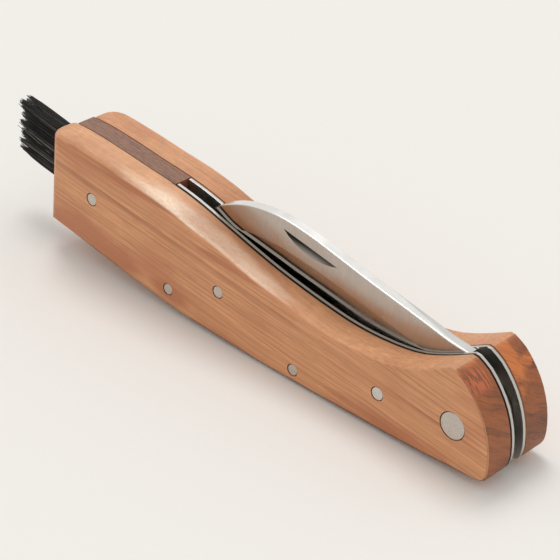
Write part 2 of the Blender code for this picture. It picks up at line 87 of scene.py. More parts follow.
def feed(tree, socket, value):
    # A socket takes a link, and anything else is its plain value
    if isinstance(value, bpy.types.NodeSocket):
        tree.links.new(value, socket)
    elif value is not None:
        socket.default_value = value


def calc(tree, operation, a, b=None, c=None, clamp=False):
    node = addNode(tree, "ShaderNodeMath", operation=operation, use_clamp=clamp)
    for socket, value in zip(node.inputs, (a, b, c)):
        feed(tree, socket, value)
    return node.outputs[0]


def times(tree, a, b):
    return calc(tree, "MULTIPLY", a, b)


def plus(tree, a, b, clamp=False):
    return calc(tree, "ADD", a, b, clamp=clamp)


def minus(tree, a, b):
    return calc(tree, "SUBTRACT", a, b)


def larger(tree, a, b):
    return calc(tree, "MAXIMUM", a, b)


def absolute(tree, value):
    return calc(tree, "ABSOLUTE", value)


def vectorCalc(tree, operation, a, b=None, output=0):
    node = addNode(tree, "ShaderNodeVectorMath", operation=operation)
    feed(tree, node.inputs[0], a)
    if operation == "SCALE":
        feed(tree, node.inputs["Scale"], b)
    else:
        feed(tree, node.inputs[1], b)
    return node.outputs[output]


def vectorLength(tree, vector):
    return vectorCalc(tree, "LENGTH", vector, output=1)


def noise(tree, vector, scale=1.0, detail=2.0, roughness=0.5, distortion=0.0, output="Fac"):
    node = addNode(tree, "ShaderNodeTexNoise")
    feed(tree, node.inputs["Vector"], vector)
    feed(tree, node.inputs["Scale"], scale)
    feed(tree, node.inputs["Detail"], detail)
    feed(tree, node.inputs["Roughness"], roughness)
    feed(tree, node.inputs["Distortion"], distortion)
    return node.outputs[output]


def stretchedNoise(tree, vector, stretch, **settings):
    # Larger amounts make the noise finer along that axis
    return noise(tree, vectorCalc(tree, "MULTIPLY", vector, stretch), **settings)


def ramp(tree, value, low, high, toLow=0.0, toHigh=1.0, smooth=True):
    kind = "SMOOTHSTEP" if smooth else "LINEAR"
    node = addNode(tree, "ShaderNodeMapRange", interpolation_type=kind)
    names = ("Value", "From Min", "From Max", "To Min", "To Max")
    for name, given in zip(names, (value, low, high, toLow, toHigh)):
        feed(tree, node.inputs[name], given)
    return node.outputs[0]


def mixValues(tree, factor, one, two):
    return calc(tree, "MULTIPLY_ADD", factor, minus(tree, two, one), one)


def inside(tree, value, low, high, soft):
    # 1 between two values and 0 beyond them
    rising = ramp(tree, value, low - soft, low + soft)
    falling = ramp(tree, value, high - soft, high + soft, 1.0, 0.0)
    return times(tree, rising, falling)


def blendColors(tree, factor, one, two, mode="MIX"):
    node = addNode(tree, "ShaderNodeMix", data_type="RGBA", blend_type=mode)
    feed(tree, node.inputs[0], factor)
    feed(tree, node.inputs[6], (*one, 1.0) if isinstance(one, tuple) else one)
    feed(tree, node.inputs[7], (*two, 1.0) if isinstance(two, tuple) else two)
    return node.outputs[2]


def combine(tree, x, y, z):
    node = addNode(tree, "ShaderNodeCombineXYZ")
    for socket, value in zip(node.inputs, (x, y, z)):
        feed(tree, socket, value)
    return node.outputs[0]


def separate(tree, vector):
    node = addNode(tree, "ShaderNodeSeparateXYZ")
    feed(tree, node.inputs[0], vector)
    return node.outputs


def shade(tree, color, amount):
    # The colour made lighter or darker by an amount that varies over the surface
    grey = addNode(tree, "ShaderNodeCombineColor")
    for socket in grey.inputs[:3]:
        feed(tree, socket, amount)
    return blendColors(tree, 1.0, color, grey.outputs[0], "MULTIPLY")


def bump(tree, height, distance, strength):
    node = addNode(tree, "ShaderNodeBump")
    feed(tree, node.inputs["Height"], height)
    node.inputs["Distance"].default_value = distance
    node.inputs["Strength"].default_value = strength
    return node.outputs["Normal"]


def newGroup(name, inputs, outputs):
    group = bpy.data.node_groups.new(name, "ShaderNodeTree")
    for socketName, kind, value in inputs:
        socket = group.interface.new_socket(socketName, in_out="INPUT", socket_type="NodeSocket" + kind)
        if value is not None:
            socket.default_value = value
    for socketName in outputs:
        group.interface.new_socket(socketName, in_out="OUTPUT", socket_type="NodeSocketFloat")
    start = addNode(group, "NodeGroupInput")
    end = addNode(group, "NodeGroupOutput")
    return group, start.outputs, end.inputs


def useGroup(tree, group, **values):
    # Values are given by socket name, with underscores for spaces
    node = addNode(tree, "ShaderNodeGroup", node_tree=group)
    for name, value in values.items():
        feed(tree, node.inputs[name.replace("_", " ")], value)
    return node.outputs


def newMaterial(name):
    material = bpy.data.materials.new(name)
    material.use_nodes = True
    tree = material.node_tree
    return material, tree, tree.nodes["Principled BSDF"]


def handleCoords(tree):
    # Object coordinates in millimetres, in the handle's own frame, and the object's normal
    place = addNode(tree, "ShaderNodeMapping", vector_type="POINT")
    place.inputs["Scale"].default_value = (millimetres,) * 3
    place.inputs["Rotation"].default_value = (0, -math.radians(handle["tiltDegrees"]), 0)
    place.inputs["Location"].default_value = (handleToWorld.inverted() @ Vector((0, 0, 0))) * millimetres
    coords = addNode(tree, "ShaderNodeTexCoord")
    tree.links.new(coords.outputs["Object"], place.inputs["Vector"])
    return place.outputs["Vector"], coords.outputs["Normal"]


# Wood figure: growth rings round a far centre line, streaks, fibres, pores and blotches.
# Sizes are in millimetres. Four numbers are a range and what it becomes.

woodShape = {
    "slowDrift": {"stretch": (0.014, 0.06, 0.06), "detail": 1.0},
    "quickDrift": {"stretch": (0.07, 0.3, 0.3), "detail": 2.0},
    "quickAmount": 0.6,
    "unevenRings": {"scale": 0.45, "detail": 1.0},
    "unevenAmount": 3.0,
    "lateRise": (0.62, 0.92),
    "lateFall": (0.93, 1.0, 1.0, 0.0),
    "ringStrength": (0.0, 1.0, 0.25, 1.0),
    "fading": {"stretch": (0.035, 0.5, 0.5), "detail": 1.0},
    "fadingAmount": (0.35, 0.6, 0.35, 1.0),
    "fibreAlong": 0.025,
    "fibres": {"detail": 3.0, "roughness": 0.65},
    "streaks": {"stretch": (0.025, 1.5, 1.5), "detail": 3.0, "roughness": 0.6},
    "pores": {"stretch": (0.6, 5.5, 5.5), "detail": 1.0, "roughness": 0.4},
    "poreEdge": (0.63, 0.72),
    "blotches": {"stretch": (0.045, 0.1, 0.1), "detail": 2.0, "roughness": 0.45},
    "curl": {"stretch": (0.24, 0.2, 0.2), "detail": 4.0, "roughness": 0.6, "distortion": 1.2},
    "rays": {"stretch": (0.25, 3.2, 0.28), "detail": 2.0, "roughness": 0.6},
}


def drift(tree, vector, look, amount):
    # A random offset, as much to one side as to the other
    offset = stretchedNoise(tree, vector, output="Color", **look)
    offset = vectorCalc(tree, "SUBTRACT", offset, (0.5, 0.5, 0.5))
    return vectorCalc(tree, "SCALE", offset, amount)


def makeWoodGroup():
    group, given, result = newGroup(
        "woodFigure",
        [
            ("Coords", "Vector", None),
            ("Ring Spacing", "Float", 1.2),
            ("Ring Centre Y", "Float", 22.0),
            ("Ring Centre Z", "Float", -60.0),
            ("Warp", "Float", 3.0),
            ("Fibre Size", "Float", 0.35),
            ("Slope", "Float", 0.0),
            ("Shift", "Float", 0.0),
        ],
        ["Rings", "Streaks", "Fibres", "Pores", "Blotches", "Curl", "Rays"],
    )
    along = separate(group, given["Coords"])[0]
    rise = combine(group, 0.0, 0.0, times(group, along, given["Slope"]))
    sheared = vectorCalc(group, "ADD", given["Coords"], rise)
    shifted = vectorCalc(group, "ADD", sheared, combine(group, given["Shift"], given["Shift"], 0.0))
    slow = drift(group, shifted, woodShape["slowDrift"], given["Warp"])
    quick = drift(group, shifted, woodShape["quickDrift"], woodShape["quickAmount"])
    bent = vectorCalc(group, "ADD", vectorCalc(group, "ADD", sheared, slow), quick)

    # Each ring has a dark late edge, of its own strength, that fades in places
    parts = separate(group, bent)
    awayY = minus(group, parts[1], given["Ring Centre Y"])
    awayZ = minus(group, parts[2], given["Ring Centre Z"])
    radius = vectorLength(group, combine(group, 0.0, awayY, awayZ))
    ringNumber = calc(group, "DIVIDE", radius, given["Ring Spacing"])
    uneven = noise(group, combine(group, ringNumber, given["Shift"], 0.0), **woodShape["unevenRings"])
    ringNumber = plus(group, ringNumber, times(group, uneven, woodShape["unevenAmount"]))
    within = calc(group, "FRACT", ringNumber)
    late = ramp(group, within, *woodShape["lateRise"])
    late = times(group, late, ramp(group, within, *woodShape["lateFall"]))
    strength = addNode(group, "ShaderNodeTexWhiteNoise", noise_dimensions="1D")
    feed(group, strength.inputs["W"], calc(group, "FLOOR", ringNumber))
    strong = ramp(group, strength.outputs["Value"], *woodShape["ringStrength"], smooth=False)
    fading = stretchedNoise(group, shifted, **woodShape["fading"])
    strong = times(group, strong, ramp(group, fading, *woodShape["fadingAmount"]))
    feed(group, result["Rings"], times(group, late, strong))

    across = calc(group, "DIVIDE", 1.0, given["Fibre Size"])
    fibreStretch = combine(group, times(group, across, woodShape["fibreAlong"]), across, across)
    feed(group, result["Fibres"], stretchedNoise(group, bent, fibreStretch, **woodShape["fibres"]))
    feed(group, result["Streaks"], stretchedNoise(group, bent, **woodShape["streaks"]))
    pores = stretchedNoise(group, shifted, **woodShape["pores"])
    feed(group, result["Pores"], ramp(group, pores, *woodShape["poreEdge"]))
    feed(group, result["Blotches"], stretchedNoise(group, shifted, **woodShape["blotches"]))
    feed(group, result["Curl"], stretchedNoise(group, shifted, **woodShape["curl"]))
    feed(group, result["Rays"], stretchedNoise(group, shifted, **woodShape["rays"]))
    return group


# A soft spot round a centre, in millimetres, with a ragged outline

spotShape = {
    "outline": {"stretch": (0.12, 0.55, 0.55), "detail": 2.0},
    "fade": (0.45, 1.1, 1.0, 0.0),
}


def makeSpotGroup():
    group, given, result = newGroup(
        "softSpot",
        [
            ("Coords", "Vector", None),
            ("Centre", "Vector", (0.0, 0.0, 0.0)),
            ("Size", "Vector", (5.0, 5.0, 5.0)),
            ("Ragged", "Float", 0.6),
        ],
        ["Mask"],
    )
    away = vectorCalc(group, "SUBTRACT", given["Coords"], given["Centre"])
    away = vectorCalc(group, "DIVIDE", away, given["Size"])
    edge = stretchedNoise(group, given["Coords"], **spotShape["outline"])
    edge = times(group, minus(group, edge, 0.5), given["Ragged"])
    reach = plus(group, vectorLength(group, away), edge)
    feed(group, result["Mask"], ramp(group, reach, *spotShape["fade"]))
    return group


# Wear on metal: fine brushing lines, a few deeper ones and soft smudges

wearShape = {
    "brushing": {"scale": 1.0, "detail": 4.0, "roughness": 0.7},
    "deep": {"scale": 0.45, "detail": 2.0, "roughness": 0.6},
    "deepEdge": (0.62, 0.72),
    "smudges": {"detail": 3.0, "roughness": 0.55},
}


def makeSteelGroup():
    group, given, result = newGroup(
        "steelFinish",
        [
            ("Coords", "Vector", None),
            ("Stretch", "Vector", (1.0, 1.0, 1.0)),
            ("Smudge Size", "Float", 4.0),
        ],
        ["Brushing", "Deep", "Smudges"],
    )
    lines = vectorCalc(group, "MULTIPLY", given["Coords"], given["Stretch"])
    feed(group, result["Brushing"], noise(group, lines, **wearShape["brushing"]))
    deep = noise(group, lines, **wearShape["deep"])
    feed(group, result["Deep"], ramp(group, deep, *wearShape["deepEdge"]))
    size = calc(group, "DIVIDE", 1.0, given["Smudge Size"])
    feed(group, result["Smudges"], noise(group, given["Coords"], scale=size, **wearShape["smudges"]))
    return group


woodFigure = makeWoodGroup()
softSpot = makeSpotGroup()
steelFinish = makeSteelGroup()
print("node groups ready")


# Cherry of the two scales. A spot is a centre and its half sizes, and where a value has
# a key for each side, -1 is the scale with the nail nick and 1 the other.

cherry = {
    # Long grain
    "early": (0.70, 0.325, 0.150),
    "late": (0.38, 0.142, 0.060),
    "red": (0.47, 0.160, 0.070),
    "pore": (0.16, 0.055, 0.026),
    "ringSpacing": 1.22,
    "ringCentreY": 24.0,
    "ringCentreZ": -58.0,
    "warp": 3.2,
    "fibreSize": 0.30,
    "slope": 0.052,
    "flankLines": 0.62,
    "allLines": 0.30,
    "streaks": (0.38, 0.68, 0.0, 0.30),
    "fibres": (0.3, 0.7, 1.14, 0.81),
    "blotches": (0.46, 0.70, 0.0, 0.55),
    "redShare": 0.8,
    "redRagged": 0.6,
    "redSpots": (
        ((-103.0, -9.0, -9.5), (15.0, 6.0, 6.0)),
        ((-92.0, -9.0, -10.0), (9.0, 6.0, 4.0)),
        ((-75.0, -9.0, -10.5), (7.0, 6.0, 2.6)),
        ((-88.0, -9.0, 8.6), (18.0, 4.0, 0.8)),
        ((-60.0, -9.0, 4.4), (13.0, 5.0, 1.0)),
        ((-12.0, -6.0, -9.0), (20.0, 6.0, 3.0)),
    ),
    # Which way each face looks
    "flankFacing": (0.86, 0.97),
    "pivotEndFacing": (0.14, 0.42),
    "brushEndFacing": (-0.75, -0.95),
    "topFacing": (0.25, 0.6),
    "slimArris": (-68.0, -30.0, 6.0),
    "arrisLean": 0.32,
    # Top, with a painted sheen band and painted highlight spots
    "sheen": (0.80, 0.46, 0.26),
    "nearSheen": (-62.0, -30.0, 0.34, 0.10),
    "farSheen": 0.12,
    "curl": (0.3, 0.7, 0.93, 1.07),
    "hornFade": (-16.0, 0.0, 1.0, 0.87),
    "pale": (1.0, 0.80, 0.62),
    "highlightDark": (0.96, 0.66, 0.46),
    "highlightFigure": {"stretch": (0.55, 0.9, 0.9), "detail": 3.0, "roughness": 0.65, "distortion": 1.5},
    "highlightFigureEdge": (0.40, 0.66),
    "highlightRagged": 0.5,
    "highlightSpots": (
        ((-66.0, -7.8, 8.0), (29.0, 4.2, 8.5)),
    ),
    "topFlecks": 0.12,
    "allFlecks": 0.12,
    # End grain
    "endLight": (0.350, 0.103, 0.028),
    "endDark": (0.150, 0.045, 0.017),
    "endOrange": (0.64, 0.188, 0.044),
    "endRed": (0.55, 0.142, 0.048),
    "endSlope": 0.5,
    "endWaves": {"stretch": (0.10, 0.20, 0.16), "detail": 1.0},
    "endWaveHeight": 2.2,
    "bandAcross": 0.12,
    "broadBands": {"scale": 0.5, "detail": 2.0},
    "broadAmount": (0.40, 0.66, 0.0, 0.5),
    "fineBands": {"stretch": (1.0, 1.6, 2.4), "detail": 3.0, "roughness": 0.6},
    "fineAmount": (0.42, 0.72, 0.0, 0.65),
    "endRays": (0.35, 0.65, 0.95, 1.07),
    "endShade": {-1: (-7.0, 3.0, 0.90, 1.03), 1: (-7.0, 3.0, 0.86, 0.97)},
    "orangeOnBands": (0.2, 0.9, 0.95, 0.4),
    "orangeRagged": 1.1,
    "orangeSpots": (
        ((2.0, 2.6, 12.0), (14.0, 4.8, 8.0)),
        ((3.0, 6.6, 9.3), (14.0, 3.4, 1.2)),
        ((2.0, -6.0, 13.0), (14.0, 4.4, 1.6)),
    ),
    "hornShare": 0.85,
    "hornRagged": 0.9,
    "hornSpots": (
        ((2.6, -6.4, 10.8), (4.0, 4.2, 3.0)),
        ((2.4, 7.6, 12.0), (3.4, 2.6, 2.4)),
    ),
    "dashes": {"stretch": (0.4, 2.3, 0.4), "detail": 1.0},
    "dashEdge": (0.5, 0.58),
    "dashShare": 0.8,
    # Edges: a painted highlight line, painted shade along the liner joint and painted shade under the flank
    "cornerHighlight": (0.26, 0.46, 0.0, 0.4),
    "jointShade": (0.030, 0.020, 0.014),
    "jointShadeEdge": (2.48, 2.74, 1.0, 0.0),
    "jointShadeStart": (-83.5, -82.5),
    "jointShadeShare": 0.92,
    "jointShadeLessOnEnds": 0.8,
    "undersideShade": (0.11, 0.052, 0.030),
    "undersideShadeDown": (-0.15, -0.5),
    "undersideShadeSideways": (0.2, 0.4),
    "undersideShadeShare": 0.8,
    # Surface
    "roughness": (0.3, 0.7, 0.40, 0.56),
    "fibreHeight": 0.5,
    "bumpDistance": 0.00002,
    "bumpStrength": 0.8,
}


def spotMask(tree, coords, spots, ragged):
    mask = None
    for centre, size in spots:
        spot = useGroup(tree, softSpot, Coords=coords, Centre=centre, Size=size, Ragged=ragged)["Mask"]
        mask = spot if mask is None else larger(tree, mask, spot)
    return mask


def cherryLongGrain(tree, coords, figure, flank, side):
    # Lines of the growth rings, dark on the flanks and faint on top
    lines = plus(tree, times(tree, flank, cherry["flankLines"]), cherry["allLines"])
    color = blendColors(tree, times(tree, figure["Rings"], lines), cherry["early"], cherry["late"])
    color = blendColors(tree, ramp(tree, figure["Streaks"], *cherry["streaks"]), color, cherry["late"])
    color = shade(tree, color, ramp(tree, figure["Fibres"], *cherry["fibres"], smooth=False))
    color = blendColors(tree, ramp(tree, figure["Blotches"], *cherry["blotches"]), color, cherry["red"])
    if side < 0:
        red = spotMask(tree, coords, cherry["redSpots"], cherry["redRagged"])
        color = blendColors(tree, times(tree, red, cherry["redShare"]), color, cherry["red"])
    return color


def cherryTop(tree, color, coords, figure, top, side):
    # The top is paler from a painted sheen band and painted highlight spots, with a figure across the grain
    # and short dark flecks
    x = separate(tree, coords)[0]
    # Painted sheen: a paler band on the top, stronger towards the brush end on the near scale
    sheen = ramp(tree, x, *cherry["nearSheen"]) if side < 0 else cherry["farSheen"]
    color = blendColors(tree, times(tree, top, sheen), color, cherry["sheen"])
    curl = minus(tree, ramp(tree, figure["Curl"], *cherry["curl"]), 1.0)
    color = shade(tree, color, plus(tree, times(tree, top, curl), 1.0))
    if side < 0:
        hornFade = minus(tree, ramp(tree, x, *cherry["hornFade"]), 1.0)
        color = shade(tree, color, plus(tree, times(tree, hornFade, top), 1.0))
        # Painted highlight: pale spots on the near top, with a curly figure of their own
        pale = spotMask(tree, coords, cherry["highlightSpots"], cherry["highlightRagged"])
        highlightFigure = stretchedNoise(tree, coords, **cherry["highlightFigure"])
        highlightFigure = ramp(tree, highlightFigure, *cherry["highlightFigureEdge"])
        highlightColor = blendColors(tree, highlightFigure, cherry["pale"], cherry["highlightDark"])
        color = blendColors(tree, times(tree, pale, top), color, highlightColor)
    flecks = plus(tree, times(tree, top, cherry["topFlecks"]), cherry["allFlecks"])
    return blendColors(tree, times(tree, figure["Pores"], flecks), color, cherry["pore"])


def cherryEndGrain(tree, coords, figure, shift, side):
    # Redder and darker, with the rings as wavy bands across it
    y, z = separate(tree, coords)[1:]
    level = plus(tree, z, times(tree, y, cherry["endSlope"]))
    waves = stretchedNoise(tree, coords, **cherry["endWaves"])
    level = plus(tree, level, times(tree, waves, cherry["endWaveHeight"]))
    bandSpace = combine(tree, shift, times(tree, y, cherry["bandAcross"]), level)
    broad = ramp(tree, noise(tree, bandSpace, **cherry["broadBands"]), *cherry["broadAmount"])
    fine = ramp(tree, stretchedNoise(tree, bandSpace, **cherry["fineBands"]), *cherry["fineAmount"])
    bands = plus(tree, broad, fine, clamp=True)
    color = blendColors(tree, bands, cherry["endLight"], cherry["endDark"])
    color = shade(tree, color, ramp(tree, figure["Rays"], *cherry["endRays"]))
    # Painted shade: the ends darker towards the bottom, and the far end darker than the near one
    color = shade(tree, color, ramp(tree, z, *cherry["endShade"][side]))
    orange = spotMask(tree, coords, cherry["orangeSpots"], cherry["orangeRagged"])
    orange = times(tree, orange, ramp(tree, bands, *cherry["orangeOnBands"]))
    color = blendColors(tree, orange, color, cherry["endOrange"])

    # The horns are red on the near side and have short dark dashes
    horn = spotMask(tree, coords, cherry["hornSpots"], cherry["hornRagged"])
    if side < 0:
        color = blendColors(tree, times(tree, horn, cherry["hornShare"]), color, cherry["endRed"])
    dashes = ramp(tree, stretchedNoise(tree, coords, **cherry["dashes"]), *cherry["dashEdge"])
    dashes = times(tree, times(tree, dashes, horn), cherry["dashShare"])
    return blendColors(tree, dashes, color, cherry["pore"])


def cherryEdges(tree, color, coords, normal, ends, side):
    # A painted highlight line where the flank turns into the end
    x, y = separate(tree, coords)[:2]
    facingX, facingY, facingZ = separate(tree, normal)
    sideways = absolute(tree, facingY)
    corner = ramp(tree, times(tree, facingX, sideways), *cherry["cornerHighlight"])
    color = blendColors(tree, corner, color, cherry["sheen"])
    if side < 0:
        # Painted shade along the joint with the liner, as a dark line
        jointShade = ramp(tree, absolute(tree, y), *cherry["jointShadeEdge"])
        jointShade = times(tree, jointShade, ramp(tree, x, *cherry["jointShadeStart"]))
        share = minus(tree, cherry["jointShadeShare"], times(tree, ends, cherry["jointShadeLessOnEnds"]))
        color = blendColors(tree, times(tree, jointShade, share), color, cherry["jointShade"])

    # Painted shade where the flank turns under
    under = ramp(tree, facingZ, *cherry["undersideShadeDown"])
    under = times(tree, under, ramp(tree, sideways, *cherry["undersideShadeSideways"]))
    return blendColors(tree, times(tree, under, cherry["undersideShadeShare"]), color, cherry["undersideShade"])


def finishWood(tree, shader, color, figure, look):
    # Fibres set the sheen, and pores are small pits
    feed(tree, shader.inputs["Base Color"], color)
    feed(tree, shader.inputs["Roughness"], ramp(tree, figure["Fibres"], *look["roughness"]))
    height = minus(tree, times(tree, figure["Fibres"], look["fibreHeight"]), figure["Pores"])
    feed(tree, shader.inputs["Normal"], bump(tree, height, look["bumpDistance"], look["bumpStrength"]))


def makeCherry(name, shift, side):
    material, tree, shader = newMaterial(name)
    coords, normal = handleCoords(tree)
    figure = useGroup(
        tree, woodFigure, Coords=coords, Ring_Spacing=cherry["ringSpacing"],
        Ring_Centre_Y=-cherry["ringCentreY"] * side, Ring_Centre_Z=cherry["ringCentreZ"],
        Warp=cherry["warp"], Fibre_Size=cherry["fibreSize"], Slope=cherry["slope"], Shift=shift,
    )
    facingX, facingY, facingZ = separate(tree, normal)
    x = separate(tree, coords)[0]
    flank = ramp(tree, absolute(tree, facingY), *cherry["flankFacing"])
    pivotEnd = ramp(tree, facingX, *cherry["pivotEndFacing"])
    ends = larger(tree, pivotEnd, ramp(tree, facingX, *cherry["brushEndFacing"]))
    arris = inside(tree, x, *cherry["slimArris"])
    lean = minus(tree, facingZ, times(tree, arris, cherry["arrisLean"]))
    top = times(tree, ramp(tree, lean, *cherry["topFacing"]), minus(tree, 1.0, ends))

    color = cherryLongGrain(tree, coords, figure, flank, side)
    color = cherryTop(tree, color, coords, figure, top, side)
    color = blendColors(tree, ends, color, cherryEndGrain(tree, coords, figure, shift, side))
    color = cherryEdges(tree, color, coords, normal, ends, side)
    finishWood(tree, shader, color, figure, cherry)
    return material


# Walnut of the spacer

walnut = {
    "light": (0.285, 0.138, 0.086),
    "dark": (0.135, 0.066, 0.046),
    "end": (0.24, 0.070, 0.030),
    "pore": (0.06, 0.030, 0.022),
    "ringSpacing": 1.5,
    "ringCentreY": -40.0,
    "ringCentreZ": -30.0,
    "warp": 5.0,
    "fibreSize": 0.4,
    "shift": 71.0,
    "ringShare": 0.5,
    "fibres": (0.4, 0.7, 0.0, 0.35),
    "mottle": {"stretch": (0.8, 1.9, 1.9), "detail": 3.0, "roughness": 0.6},
    "mottleAmount": (0.45, 0.7, 0.0, 0.5),
    "poreShare": 0.6,
    "endFacing": (0.5, 0.9, 0.0, 0.9),
    "roughness": (0.3, 0.7, 0.45, 0.62),
    "fibreHeight": 0.5,
    "bumpDistance": 0.00003,
    "bumpStrength": 0.8,
}


def makeWalnut(name):
    material, tree, shader = newMaterial(name)
    coords, normal = handleCoords(tree)
    figure = useGroup(
        tree, woodFigure, Coords=coords, Ring_Spacing=walnut["ringSpacing"],
        Ring_Centre_Y=walnut["ringCentreY"], Ring_Centre_Z=walnut["ringCentreZ"],
        Warp=walnut["warp"], Fibre_Size=walnut["fibreSize"], Slope=0.0, Shift=walnut["shift"],
    )
    mottle = stretchedNoise(tree, coords, **walnut["mottle"])
    rings = times(tree, figure["Rings"], walnut["ringShare"])
    streaks = plus(tree, rings, ramp(tree, figure["Fibres"], *walnut["fibres"]))
    streaks = plus(tree, streaks, ramp(tree, mottle, *walnut["mottleAmount"]), clamp=True)
    color = blendColors(tree, streaks, walnut["light"], walnut["dark"])
    color = blendColors(tree, times(tree, figure["Pores"], walnut["poreShare"]), color, walnut["pore"])
    facingX = separate(tree, normal)[0]
    color = blendColors(tree, ramp(tree, facingX, *walnut["endFacing"]), color, walnut["end"])
    finishWood(tree, shader, color, figure, walnut)
    return material


# Steels: one maker, with its own values for each kind of piece

steels = {
    "liner_steel": {
        "color": (0.60, 0.59, 0.565), "dark": (0.42, 0.41, 0.39), "roughness": (0.3, 0.7, 0.26, 0.42),
        "stretch": (0.25, 8.0, 8.0), "smudge": 5.0, "relief": 0.000004,
    },
    "blade_steel": {
        "color": (0.54, 0.490, 0.442), "dark": (0.44, 0.395, 0.35), "roughness": (0.3, 0.7, 0.22, 0.34),
        "stretch": (7.0, 7.0, 0.35), "smudge": 8.0, "relief": 0.0000025,
    },
    "spring_steel_dark": {
        "color": (0.30, 0.285, 0.27), "dark": (0.14, 0.125, 0.115), "roughness": (0.3, 0.7, 0.35, 0.55),
        "stretch": (0.3, 7.0, 7.0), "smudge": 3.0, "relief": 0.000005,
    },
    "pin_steel_satin": {
        "color": (0.61, 0.57, 0.515), "dark": (0.44, 0.40, 0.355), "roughness": (0.3, 0.7, 0.38, 0.55),
        "stretch": (3.0, 5.0, 3.0), "smudge": 1.2, "relief": 0.000006,
    },
    "pin_steel_bright": {
        "color": (0.70, 0.69, 0.65), "dark": (0.50, 0.48, 0.44), "roughness": (0.3, 0.7, 0.38, 0.55),
        "stretch": (3.0, 5.0, 3.0), "smudge": 1.2, "relief": 0.000006,
    },
}
steelWear = {
    "brushing": (0.35, 0.7, 0.0, 1.0),
    "brushingShare": 0.6,
    "deepShare": 0.35,
    "deepHeight": 0.6,
    "bumpStrength": 0.6,
}
# Painted shade along each liner's outer edge where it meets the wood: black on the near side, brown on the
# far side
linerMarks = {
    "nearJointShade": (0.035, 0.028, 0.022),
    "nearJointShadeY": (-1.90, -2.02),
    "farJointShade": (0.23, 0.125, 0.075),
    "farJointShadeY": (1.90, 2.02),
}
# The spring's end, painted dark brown as shade between the liners
springEndShade = {"end": (0.085, 0.062, 0.050), "endFacing": (0.2, 0.6)}
bladeMarks = {
    # Spine, with a painted highlight on its near side
    "spineHighlight": (0.84, 0.84, 0.84),
    "spineFar": (0.62, 0.63, 0.635),
    "spineGreyX": (-26.0, -3.0),
    "spineGreyEdge": (-0.35, 0.25),
    "spineLines": (0.3, 0.7, 1.05, 0.90),
    "spineFacing": (0.45, 0.8),
    # Side faces, which come together towards the tip
    "faceY": 1.2,
    "taper": (-76.3, -67.1, 0.55, 0.0),
    # Nail nick, with painted shade
    "nickShade": (0.022, 0.020, 0.018),
    "nickPale": (0.33, 0.30, 0.275),
    "nickX": (-53.3, -37.1),
    "nickSoftX": 0.1,
    "nickMiddle": (-45.2, 12.9),
    "nickTilt": 0.105,
    "nickBelow": (-0.12, 2.2, 0.06),
    "nickSunk": (0.008, 0.02),
    "nickGreyBelow": (0.4, 2.2),
    "nickGreyAlong": (-0.12, 0.2),
    # Tang, painted dark as shade between the liners
    "tang": (0.105, 0.086, 0.074),
    "tangStreak": (0.33, 0.285, 0.25),
    "tangFrom": (-4.2, -3.5),
    "tangSlant": 0.9,
    "tangStretch": (0.4, 2.2),
    "tangScratches": {"detail": 3.0, "roughness": 0.65},
    "tangEdge": (0.42, 0.72),
    "tangRoughness": 0.5,
    # The sides are polished just above the rim of the handle, away from the tip and the heel
    "rim": (
        (-80.0, 10.0), (-68.0, 7.8), (-60.0, 6.2), (-52.0, 4.8), (-44.0, 3.8), (-36.0, 3.1), (-30.0, 3.0),
        (-24.0, 3.5), (-18.0, 4.5), (-13.0, 6.0), (-8.0, 8.6), (0.0, 12.0),
    ),
    "dullAbove": (0.6, 5.0),
    "dullTip": (-73.5, -68.5, 1.0, 0.0),
    "dullHeel": (-48.0, -32.0),
    "polishedRoughness": 0.06,
}


def curveThrough(tree, value, points):
    # A smooth curve through a few (position, value) pairs
    firstX, lastX = points[0][0], points[-1][0]
    lowest, highest = min(p[1] for p in points), max(p[1] for p in points)
    node = addNode(tree, "ShaderNodeFloatCurve")
    curve = node.mapping.curves[0]
    while len(curve.points) < len(points):
        curve.points.new(0.5, 0.5)
    for point, (position, height) in zip(curve.points, points):
        point.location = ((position - firstX) / (lastX - firstX), (height - lowest) / (highest - lowest))
    node.mapping.update()
    feed(tree, node.inputs["Value"], ramp(tree, value, firstX, lastX, smooth=False))
    return ramp(tree, node.outputs["Value"], 0.0, 1.0, lowest, highest, smooth=False)


def bladeSpine(tree, color, coords, normal, brushing):
    # Painted highlight: the spine is bright on the near side, and grey from the far side on towards the
    # pivot
    x, y = separate(tree, coords)[:2]
    faceY = bladeMarks["faceY"]
    greyFrom = ramp(tree, x, *bladeMarks["spineGreyX"], faceY, -faceY, smooth=False)
    grey = ramp(tree, minus(tree, y, greyFrom), *bladeMarks["spineGreyEdge"])
    spine = blendColors(tree, grey, bladeMarks["spineHighlight"], bladeMarks["spineFar"])
    spine = shade(tree, spine, ramp(tree, brushing, *bladeMarks["spineLines"]))
    facingZ = separate(tree, normal)[2]
    return blendColors(tree, ramp(tree, facingZ, *bladeMarks["spineFacing"]), color, spine)


